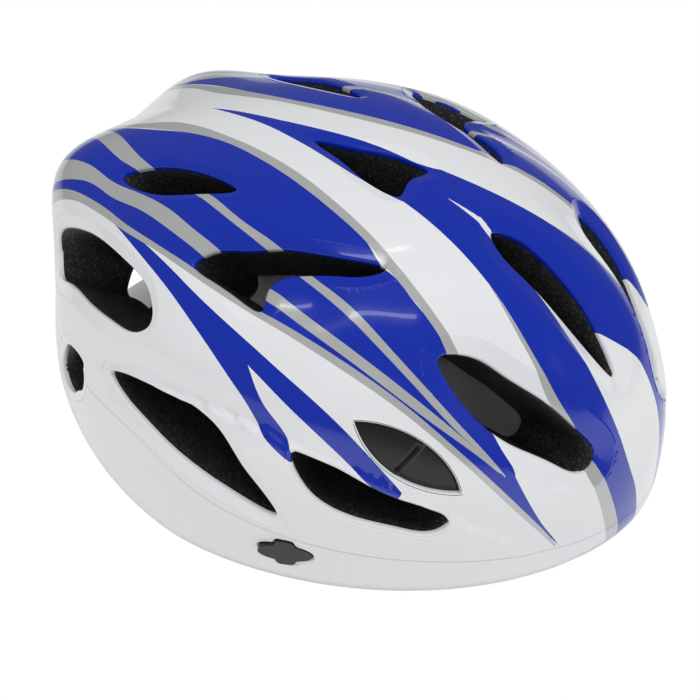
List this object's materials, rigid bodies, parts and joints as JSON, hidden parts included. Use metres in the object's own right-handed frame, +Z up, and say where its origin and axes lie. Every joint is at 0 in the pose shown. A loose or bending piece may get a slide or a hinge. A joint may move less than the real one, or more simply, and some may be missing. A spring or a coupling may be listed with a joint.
{
  "type": "cycling helmet",
  "caption": "Vented in-mould cycling helmet with a foam liner, dial-adjusted cradle, pads, straps and a side-release buckle.",
  "frame": {"origin": "middle of the rim plane, on which the helmet rests, below the middle of the head cavity", "axes": "+Z up through the crown, -Y towards the brow, +X towards the rider's left"},
  "size_m": [0.21, 0.2656, 0.1305],
  "materials": {
    "blue_white_shell": "glossy printed polycarbonate",
    "white_shell": "glossy white polycarbonate",
    "black_foam": "moulded expanded polystyrene beads",
    "black_plastic": "fine satin moulding",
    "dial_rubber": "soft-touch overmould",
    "grey_plastic": "satin moulding",
    "steel": "plated steel",
    "pad_fabric": "knitted mesh over foam",
    "hook_tape": "hook tape",
    "webbing": "woven polyester webbing",
    "keeper_rubber": "matt rubber"
  },
  "bodies": {
    "helmet": {"brow_pad": "pad_fabric", "buckle_female": "black_plastic", "chin_strap_left": "webbing", "chin_strap_right": "webbing", "cradle_base": "black_plastic", "cradle_cover": "black_plastic", "cradle_hanger_left": "black_plastic", "cradle_hanger_right": "black_plastic", "cradle_pad": "pad_fabric", "cradle_screws": "steel", "crown_pad_left": "pad_fabric", "crown_pad_right": "pad_fabric", "detent_spring": "grey_plastic", "eps_liner": "black_foam", "front_anchor_left": "black_plastic", "front_anchor_right": "black_plastic", "front_strap_left": "webbing", "front_strap_right": "webbing", "headband_left": "black_plastic", "headband_right": "black_plastic", "hook_dots": "hook_tape", "lower_shell": "white_shell", "rear_anchor_left": "black_plastic", "rear_anchor_right": "black_plastic", "rear_strap_left": "webbing", "rear_strap_right": "webbing", "side_pad_left": "pad_fabric", "side_pad_right": "pad_fabric", "strap_divider_left": "black_plastic", "strap_divider_right": "black_plastic", "strap_keeper": "keeper_rubber", "temple_pins": "black_plastic", "upper_shell": "blue_white_shell", "visor_insert_left": "black_plastic", "visor_insert_right": "black_plastic"},
    "dial": {"dial_knob": "dial_rubber", "pinion": "grey_plastic"},
    "rack_left": {"rack_left": "grey_plastic"},
    "rack_right": {"rack_right": "grey_plastic"},
    "lever_left": {"lock_lever_left": "grey_plastic"},
    "lever_right": {"lock_lever_right": "grey_plastic"},
    "buckle_male": {"buckle_male": "black_plastic"}
  },
  "joints": [
    {"name": "dial_turn", "type": "hinge", "parent": "helmet", "child": "dial", "pos_m": [0, 0.0882, 0.02], "axis": [0, 1, 0], "range_deg": [-120, 120]},
    {"name": "rack_left_slide", "type": "slide", "parent": "helmet", "child": "rack_left", "axis": [1, 0, 0], "range_m": [-0.0112, 0.0112], "deforming": ["headband_left"]},
    {"name": "rack_right_slide", "type": "slide", "parent": "helmet", "child": "rack_right", "axis": [1, 0, 0], "range_m": [-0.0112, 0.0112], "deforming": ["headband_right"]},
    {"name": "lever_left_turn", "type": "hinge", "parent": "helmet", "child": "lever_left", "pos_m": [0.057, 0.004, 0.0076], "axis": [0, 1, 0], "range_deg": [0, 80]},
    {"name": "lever_right_turn", "type": "hinge", "parent": "helmet", "child": "lever_right", "pos_m": [-0.057, 0.004, 0.0076], "axis": [0, -1, 0], "range_deg": [0, 80]},
    {"name": "buckle_release", "type": "slide", "parent": "helmet", "child": "buckle_male", "axis": [-1, 0, 0], "range_m": [0, 0.014], "deforming": ["chin_strap_right"]}
  ],
  "couplings": [
    {"joint": "rack_left_slide", "follows": "dial_turn", "m_per_rad": 0.0048},
    {"joint": "rack_right_slide", "follows": "dial_turn", "m_per_rad": -0.0048}
  ]
}
